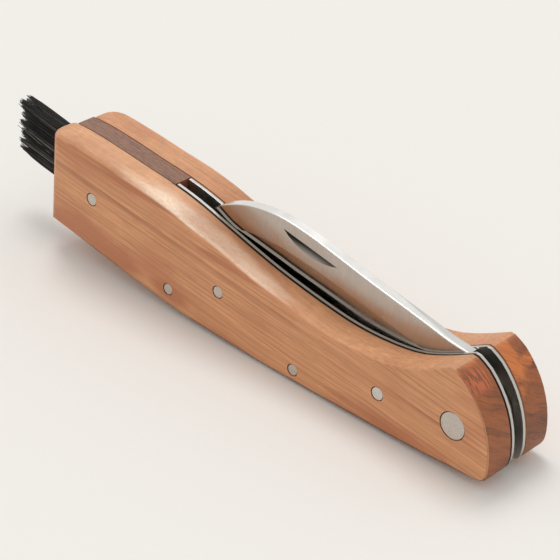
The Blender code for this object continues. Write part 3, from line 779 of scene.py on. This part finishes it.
def bladeNick(tree, color, coords):
    # Painted shade: the cut is dark along its straight top and grey further down and towards the pivot
    x, y, z = separate(tree, coords)
    taper = ramp(tree, x, *bladeMarks["taper"], smooth=False)
    face = times(tree, minus(tree, 1.0, taper), bladeMarks["faceY"])
    sunk = ramp(tree, minus(tree, face, absolute(tree, y)), *bladeMarks["nickSunk"])
    middleX, middleZ = bladeMarks["nickMiddle"]
    topLine = minus(tree, middleZ, times(tree, minus(tree, x, middleX), bladeMarks["nickTilt"]))
    below = minus(tree, topLine, z)
    nick = inside(tree, x, *bladeMarks["nickX"], bladeMarks["nickSoftX"])
    nick = times(tree, nick, inside(tree, below, *bladeMarks["nickBelow"]))
    greyBelow = ramp(tree, below, *bladeMarks["nickGreyBelow"])
    greyAlong = ramp(tree, x, *bladeMarks["nickX"], *bladeMarks["nickGreyAlong"])
    grey = plus(tree, greyBelow, greyAlong, clamp=True)
    nickColor = blendColors(tree, grey, bladeMarks["nickShade"], bladeMarks["nickPale"])
    return blendColors(tree, times(tree, nick, sunk), color, nickColor)


def bladeTang(tree, color, coords, tang):
    # Painted shade: the tang is dark between the liners, with slanting scratches
    x, y, z = separate(tree, coords)
    alongX, alongSlant = bladeMarks["tangStretch"]
    slant = plus(tree, z, times(tree, y, bladeMarks["tangSlant"]))
    place = combine(tree, times(tree, x, alongX), times(tree, slant, alongSlant), 0.0)
    scratches = noise(tree, place, **bladeMarks["tangScratches"])
    scratches = ramp(tree, scratches, *bladeMarks["tangEdge"])
    tangColor = blendColors(tree, scratches, bladeMarks["tang"], bladeMarks["tangStreak"])
    return blendColors(tree, tang, color, tangColor)


def bladeDullness(tree, coords):
    # 0 on the polished band along the rim of the handle, 1 beyond it
    place = separate(tree, coords)
    x = place[0]
    aboveRim = minus(tree, place[2], curveThrough(tree, x, bladeMarks["rim"]))
    atTip = ramp(tree, x, *bladeMarks["dullTip"])
    atHeel = ramp(tree, x, *bladeMarks["dullHeel"])
    return larger(tree, larger(tree, atTip, atHeel), ramp(tree, aboveRim, *bladeMarks["dullAbove"]))


def makeSteel(name):
    look = steels[name]
    material, tree, shader = newMaterial(name)
    coords, normal = handleCoords(tree)
    finish = useGroup(
        tree, steelFinish, Coords=coords, Stretch=look["stretch"], Smudge_Size=look["smudge"],
    )
    brushing = ramp(tree, finish["Brushing"], *steelWear["brushing"])
    brushing = times(tree, brushing, steelWear["brushingShare"])
    tone = plus(tree, brushing, times(tree, finish["Deep"], steelWear["deepShare"]), clamp=True)
    color = blendColors(tree, tone, look["color"], look["dark"])
    roughness = ramp(tree, finish["Smudges"], *look["roughness"])
    if name == "liner_steel":
        y = separate(tree, coords)[1]
        # Painted shade along the liner's joints with the wood
        for side in ("near", "far"):
            jointShade = ramp(tree, y, *linerMarks[side + "JointShadeY"])
            color = blendColors(tree, jointShade, color, linerMarks[side + "JointShade"])
    if name == "spring_steel_dark":
        # Painted shade on the spring's end between the liners
        facingX = separate(tree, normal)[0]
        color = blendColors(tree, ramp(tree, facingX, *springEndShade["endFacing"]), color, springEndShade["end"])
    if name == "blade_steel":
        tang = ramp(tree, separate(tree, coords)[0], *bladeMarks["tangFrom"])
        color = bladeSpine(tree, color, coords, normal, finish["Brushing"])
        color = bladeNick(tree, color, coords)
        color = bladeTang(tree, color, coords, tang)
        dull = bladeDullness(tree, coords)
        roughness = mixValues(tree, dull, bladeMarks["polishedRoughness"], roughness)
        roughness = larger(tree, roughness, times(tree, tang, bladeMarks["tangRoughness"]))
    feed(tree, shader.inputs["Base Color"], color)
    shader.inputs["Metallic"].default_value = 1.0
    feed(tree, shader.inputs["Roughness"], roughness)
    height = minus(tree, finish["Brushing"], times(tree, finish["Deep"], steelWear["deepHeight"]))
    feed(tree, shader.inputs["Normal"], bump(tree, height, look["relief"], steelWear["bumpStrength"]))
    return material


# Bristle: each strand has its own tone, with streaks along it

bristle = {
    "dark": (0.0018, 0.0016, 0.0015),
    "light": (0.22, 0.196, 0.173),
    "streaks": {"stretch": (0.6, 3.0, 3.0), "detail": 2.0},
    "streakTone": (0.3, 0.7, 0.6, 1.2),
    "roughness": (0.3, 0.7, 0.28, 0.5),
    "specular": 0.3,
}


def makeBristleMaterial(name):
    material, tree, shader = newMaterial(name)
    coords = handleCoords(tree)[0]
    strand = addNode(tree, "ShaderNodeAttribute", attribute_name="strandTone")
    streaks = stretchedNoise(tree, coords, **bristle["streaks"])
    tone = times(tree, strand.outputs["Fac"], ramp(tree, streaks, *bristle["streakTone"]))
    feed(tree, shader.inputs["Base Color"], blendColors(tree, tone, bristle["dark"], bristle["light"]))
    feed(tree, shader.inputs["Roughness"], ramp(tree, streaks, *bristle["roughness"]))
    shader.inputs["Specular IOR Level"].default_value = bristle["specular"]
    return material


cherryNear = makeCherry("cherry_near", 0.0, -1)
cherryFar = makeCherry("cherry_far", 37.0, 1)
walnutWood = makeWalnut("walnut_oiled")
steelMaterials = {name: makeSteel(name) for name in steels}
bristleBlack = makeBristleMaterial("black_brush_bristle")
print("materials ready:", len(bpy.data.materials))


# CAD nodes keep their meshes: modifiers soften their edges and their shading

softening = {
    "weldDistance": 0.000005,
    "flatDegrees": 0.4,
    "edgeDegrees": 38,
    "edgeSegments": 2,
    "sharpDegrees": 38,
    "creaseDegrees": 5,
}


def newShapeGroup(name):
    group = bpy.data.node_groups.new(name, "GeometryNodeTree")
    for direction in ("INPUT", "OUTPUT"):
        group.interface.new_socket("Geometry", in_out=direction, socket_type="NodeSocketGeometry")
    return group, addNode(group, "NodeGroupInput"), addNode(group, "NodeGroupOutput")


def linkChain(group, chain):
    for one, two in zip(chain, chain[1:]):
        group.links.new(one.outputs[0], two.inputs[0])


def makeWeldGroup():
    # Facets of one solid become one smooth skin
    group, start, end = newShapeGroup("weldAndSmooth")
    plain = addNode(group, "GeometryNodeRemoveAttribute")
    plain.inputs["Name"].default_value = "custom_normal"
    merge = addNode(group, "GeometryNodeMergeByDistance")
    merge.inputs["Distance"].default_value = softening["weldDistance"]
    smooth = addNode(group, "GeometryNodeSetShadeSmooth", domain="FACE")
    linkChain(group, [start, plain, merge, smooth, end])
    return group


def makeSharpGroup(name, degrees):
    # Edges below the angle are smooth and the rest are sharp
    group, start, end = newShapeGroup(name)
    smooth = addNode(group, "GeometryNodeSetShadeSmooth", domain="EDGE")
    angle = addNode(group, "GeometryNodeInputMeshEdgeAngle")
    below = addNode(group, "FunctionNodeCompare", data_type="FLOAT", operation="LESS_THAN")
    group.links.new(angle.outputs[0], below.inputs[0])
    below.inputs[1].default_value = math.radians(degrees)
    group.links.new(below.outputs[0], smooth.inputs["Shade Smooth"])
    linkChain(group, [start, smooth, end])
    return group


weldGroup = makeWeldGroup()
sharpGroup = makeSharpGroup("sharpCorners", softening["sharpDegrees"])
creaseGroup = makeSharpGroup("sharpCreases", softening["creaseDegrees"])


def softenNode(name, edgeWidth, material, sharpness):
    node = nodes[name]
    weld = node.modifiers.new("weld", "NODES")
    weld.node_group = weldGroup
    flat = node.modifiers.new("flat faces", "DECIMATE")
    flat.decimate_type = "DISSOLVE"
    flat.angle_limit = math.radians(softening["flatDegrees"])
    edges = node.modifiers.new("soft edges", "BEVEL")
    edges.limit_method = "ANGLE"
    edges.angle_limit = math.radians(softening["edgeDegrees"])
    edges.width = edgeWidth
    edges.segments = softening["edgeSegments"]
    edges.use_clamp_overlap = True
    sharp = node.modifiers.new("sharp corners", "NODES")
    sharp.node_group = sharpness
    shading = node.modifiers.new("even shading", "WEIGHTED_NORMAL")
    shading.keep_sharp = True
    for slot in node.material_slots:
        slot.material = material


# Each piece: the width of its soft edges in metres, its material and which edges stay sharp
satinPin = (0.00003, steelMaterials["pin_steel_satin"], sharpGroup)
rigidPieces = {
    "scale_nick_side": (0.00024, cherryNear, sharpGroup),
    "scale_far_side": (0.00024, cherryFar, sharpGroup),
    "liner_nick_side": (0.00006, steelMaterials["liner_steel"], sharpGroup),
    "liner_far_side": (0.00006, steelMaterials["liner_steel"], sharpGroup),
    "walnut_spacer": (0.0001, walnutWood, sharpGroup),
    "back_spring": (0.0001, steelMaterials["spring_steel_dark"], sharpGroup),
    "blade": (0.00007, steelMaterials["blade_steel"], creaseGroup),
    "pivot_pin": satinPin,
    "pin_brush_end": satinPin,
    "pin_spring_tail": satinPin,
    "pin_slot": satinPin,
    "pin_spring_middle": satinPin,
    "pin_stop": (0.00003, steelMaterials["pin_steel_bright"], sharpGroup),
}
for nodeName, choices in rigidPieces.items():
    softenNode(nodeName, *choices)
print("rigid pieces dressed:", len(rigidPieces))


# Brush: single strands in tufts, set in a backing that fills the pocket. Lengths are in metres,
# and spreads are shares of the length that they belong to.

brush = {
    # Place
    "pocketFloorX": -0.1060,
    "pocketFloorZ": -0.0014,
    "riseDegrees": 5.4,
    "backingStart": 0.0003,
    "backingDepth": 0.0050,
    # Bundle
    "width": 0.0036,
    "height": 0.0126,
    "length": 0.0212,
    "slantDegrees": 6.0,
    "rows": 46,
    "columns": 16,
    "jitter": 0.35,
    "cornerCut": (0.42, 0.47),
    "fanShare": 0.075,
    "seed": 3,
    # Tufts
    "tuftCount": 30,
    "tuftAcross": (-0.4, 0.4),
    "tuftWithin": (0.1, 0.9),
    "tuftPull": (0.25, 0.8),
    "tuftReach": 0.0010,
    "tuftReachSpread": (-0.8, 0.5),
    "tuftLean": 0.0004,
    "tuftLeanAcross": (-0.5, 0.5),
    "tuftLeanUp": (-1, 1),
    "tuftPoint": 0.25,
    "partShare": 7.0,
    # Strands
    "strandRadius": 0.00012,
    "tipShare": 0.45,
    "taperPower": 3,
    "sides": 5,
    "steps": 6,
    "scatter": 0.0011,
    "strayShare": 0.06,
    "strayExtra": 0.0015,
    "bend": 0.0005,
    "bendAcross": (-0.3, 0.3),
    "bendUp": (-0.5, 0.5),
    # A few strands low on the near side cross the others
    "crossBelow": -0.1,
    "crossFrom": 0.1,
    "crossShare": 0.09,
    "crossShift": 0.0036,
    "crossSpread": (0.4, 1.0),
    # Tones
    "clump": 3,
    "clumpPower": 2,
    "toneShares": (0.1, 0.5, 0.75),
    "tonePower": 5,
}


def makeTufts(rng):
    # Each tuft: its middle on the backing, how its point leans, its change of reach and its tone
    tufts = []
    count = brush["tuftCount"]
    for number in range(count):
        middleX = rng.uniform(*brush["tuftAcross"]) * brush["width"]
        middleY = ((number + rng.uniform(*brush["tuftWithin"])) / count - 0.5) * brush["height"]
        lean = Vector((rng.uniform(*brush["tuftLeanAcross"]), rng.uniform(*brush["tuftLeanUp"])))
        reach = rng.uniform(*brush["tuftReachSpread"]) * brush["tuftReach"]
        tufts.append((Vector((middleX, middleY)), lean * brush["tuftLean"], reach, rng.random()))
    return tufts


def strandPath(across, up, tufts, clumpTone, rng):
    # Root on the backing, tip fanned out and pulled towards the point of its tuft
    thick = 2 * brush["strandRadius"]
    root = Vector((across * (brush["width"] - thick), up * (brush["height"] - thick)))
    middle, lean, reachChange, tuftTone = min(tufts, key=lambda tuft: (tuft[0] - root).length)
    pull = (middle + lean - root) * rng.uniform(*brush["tuftPull"])
    fan = root * brush["fanShare"]
    offCentre = (root - middle).length
    reach = brush["length"] + root.y * math.tan(math.radians(brush["slantDegrees"])) + reachChange
    reach -= brush["scatter"] * rng.random() + offCentre * brush["tuftPoint"]
    if rng.random() < brush["strayShare"]:
        reach += brush["strayExtra"] * rng.random()
    mayCross = up < brush["crossBelow"] and across > brush["crossFrom"]
    crossing = mayCross and rng.random() < brush["crossShare"]
    if crossing:
        fan += Vector((0, brush["crossShift"] * rng.uniform(*brush["crossSpread"])))
    bend = Vector((rng.uniform(*brush["bendAcross"]), rng.uniform(*brush["bendUp"]))) * brush["bend"]
    points = []
    for step in range(brush["steps"] + 1):
        share = step / brush["steps"]
        bow = math.sin(share * math.pi)
        place = root + fan * share + pull * share ** brush["partShare"] + bend * bow
        points.append(Vector((place.x, place.y, reach * share)))
    return points, 1.0 if crossing else strandTone(tuftTone, clumpTone, rng)


def strandTone(tuftTone, clumpTone, rng):
    # Mostly dark, paler by tuft and clump, with a few pale strands
    tuftShare, clumpShare, ownShare = brush["toneShares"]
    own = rng.random() ** brush["tonePower"]
    return min(tuftShare * tuftTone + clumpShare * clumpTone + ownShare * own, 1.0)


def addStrand(bm, points, tone, toneLayer):
    # A tapered tube, closed at both ends
    rings = []
    sides = brush["sides"]
    last = len(points) - 1
    for number, point in enumerate(points):
        taper = (1 - brush["tipShare"]) * (number / last) ** brush["taperPower"]
        radius = brush["strandRadius"] * (1 - taper)
        ring = []
        for side in range(sides):
            angle = 2 * math.pi * side / sides
            ring.append(bm.verts.new(point + Vector((math.cos(angle), math.sin(angle), 0)) * radius))
        rings.append(ring)
    faces = []
    for one, two in zip(rings, rings[1:]):
        for side in range(sides):
            after = (side + 1) % sides
            faces.append(bm.faces.new((one[side], one[after], two[after], two[side])))
    faces.append(bm.faces.new(rings[0][::-1]))
    faces.append(bm.faces.new(rings[-1]))
    for face in faces:
        face.smooth = True
        for loop in face.loops:
            loop[toneLayer] = (tone, tone, tone, 1.0)


def addBacking(bm):
    middle = Matrix.Translation((0, 0, -brush["backingDepth"] / 2))
    size = Matrix.Diagonal((brush["width"], brush["height"], brush["backingDepth"], 1))
    bmesh.ops.create_cube(bm, size=1, matrix=middle @ size)


def makeClumpTones():
    rng = random.Random(brush["seed"])
    rows, columns = range(brush["rows"]), range(brush["columns"])
    return [[rng.random() ** brush["clumpPower"] for column in columns] for row in rows]


def makeBrush():
    rng = random.Random(brush["seed"])
    bm = bmesh.new()
    toneLayer = bm.loops.layers.color.new("strandTone")
    addBacking(bm)
    tufts = makeTufts(rng)
    clumpTones = makeClumpTones()
    jitter = brush["jitter"]
    cutAcross, cutUp = brush["cornerCut"]
    for row in range(brush["rows"]):
        for column in range(brush["columns"]):
            across = (column + 0.5 + rng.uniform(-jitter, jitter)) / brush["columns"] - 0.5
            up = (row + 0.5 + rng.uniform(-jitter, jitter)) / brush["rows"] - 0.5
            if abs(across) > cutAcross and abs(up) > cutUp:
                continue
            clumpTone = clumpTones[row // brush["clump"]][column // brush["clump"]]
            addStrand(bm, *strandPath(across, up, tufts, clumpTone, rng), toneLayer)
    mesh = bpy.data.meshes.new("brush_bundle")
    bm.to_mesh(mesh)
    bm.free()
    bundle = bpy.data.objects.new("brush_bundle", mesh)
    bpy.context.scene.collection.objects.link(bundle)

    # Strands are made along +Z, and turned to point out of the pocket
    axes = Matrix(((0, 0, -1), (-1, 0, 0), (0, 1, 0))).to_4x4()
    rise = Matrix.Rotation(math.radians(brush["riseDegrees"]), 4, "Y")
    floor = Matrix.Translation((brush["pocketFloorX"], 0, brush["pocketFloorZ"]))
    front = Matrix.Translation((0, 0, brush["backingStart"] + brush["backingDepth"]))
    mesh.transform(handleToWorld @ floor @ rise @ axes @ front)
    mesh.materials.append(bristleBlack)
    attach(bundle, "handle")
    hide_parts("brush_bristles")
    return bundle


brushBundle = makeBrush()
print("brush made:", len(brushBundle.data.polygons), "faces")


# Table, light and camera

table = {
    "size": 3.0,
    "segments": 8,
    "color": (0.873, 0.854, 0.825),
    "paler": 1.01,
    "darker": 0.99,
    "grain": {"scale": 900.0, "detail": 3.0},
    "roughness": 0.85,
    "specular": 0.2,
}
light = {
    "ambient": 0.75,
    "ambientColor": (1.0, 0.990, 0.968),
    "backdrop": (0.871, 0.847, 0.807),
    "backdropStrength": 1.0,
    "keyToward": (-0.36, 0.25, 0.91),
    "keyStrength": 0.93,
    "keyDegrees": 26.0,
    "keyColor": (1.0, 0.992, 0.982),
}
view = {
    "fromPivot": (0.187314, -0.261823, 0.225328),
    "rotationDegrees": (58.0252, -2.1606, 43.9030),
    "lens": 133.695,
    "sensor": 36.0,
}


def makeTable():
    mesh = bpy.data.meshes.new("table")
    bm = bmesh.new()
    count = table["segments"]
    bmesh.ops.create_grid(bm, x_segments=count, y_segments=count, size=table["size"])
    bm.to_mesh(mesh)
    bm.free()
    top = bpy.data.objects.new("table", mesh)
    bpy.context.scene.collection.objects.link(top)
    material, tree, shader = newMaterial("pale_table")
    coords = addNode(tree, "ShaderNodeTexCoord")
    grain = noise(tree, coords.outputs["Object"], **table["grain"])
    paler = tuple(channel * table["paler"] for channel in table["color"])
    darker = tuple(channel * table["darker"] for channel in table["color"])
    feed(tree, shader.inputs["Base Color"], blendColors(tree, grain, darker, paler))
    shader.inputs["Roughness"].default_value = table["roughness"]
    shader.inputs["Specular IOR Level"].default_value = table["specular"]
    mesh.materials.append(material)


def makeWorld():
    # The camera, metal and gloss see the backdrop, and all else gets the ambient light
    world = bpy.data.worlds.new("studio")
    bpy.context.scene.world = world
    world.use_nodes = True
    tree = world.node_tree
    background = tree.nodes["Background"]
    path = addNode(tree, "ShaderNodeLightPath").outputs
    seen = larger(tree, path["Is Camera Ray"], path["Is Glossy Ray"])
    seen = larger(tree, seen, path["Is Transmission Ray"])
    color = blendColors(tree, seen, light["ambientColor"], light["backdrop"])
    strength = ramp(tree, seen, 0.0, 1.0, light["ambient"], light["backdropStrength"], smooth=False)
    feed(tree, background.inputs["Color"], color)
    feed(tree, background.inputs["Strength"], strength)


def makeKey():
    lamp = bpy.data.lights.new("key", "SUN")
    lamp.energy = light["keyStrength"]
    lamp.angle = math.radians(light["keyDegrees"])
    lamp.color = light["keyColor"]
    key = bpy.data.objects.new("key", lamp)
    bpy.context.scene.collection.objects.link(key)
    key.rotation_euler = (-Vector(light["keyToward"])).to_track_quat("-Z", "Y").to_euler()


def makeCamera():
    lens = bpy.data.cameras.new("camera")
    lens.lens = view["lens"]
    lens.sensor_width = view["sensor"]
    camera = bpy.data.objects.new("camera", lens)
    bpy.context.scene.collection.objects.link(camera)
    camera.location = handle["pivot"] + Vector(view["fromPivot"])
    camera.rotation_euler = Euler([math.radians(angle) for angle in view["rotationDegrees"]])
    bpy.context.scene.camera = camera


makeTable()
makeWorld()
makeKey()
makeCamera()
bpy.context.scene.view_settings.view_transform = "Standard"
print("table, light and camera ready")
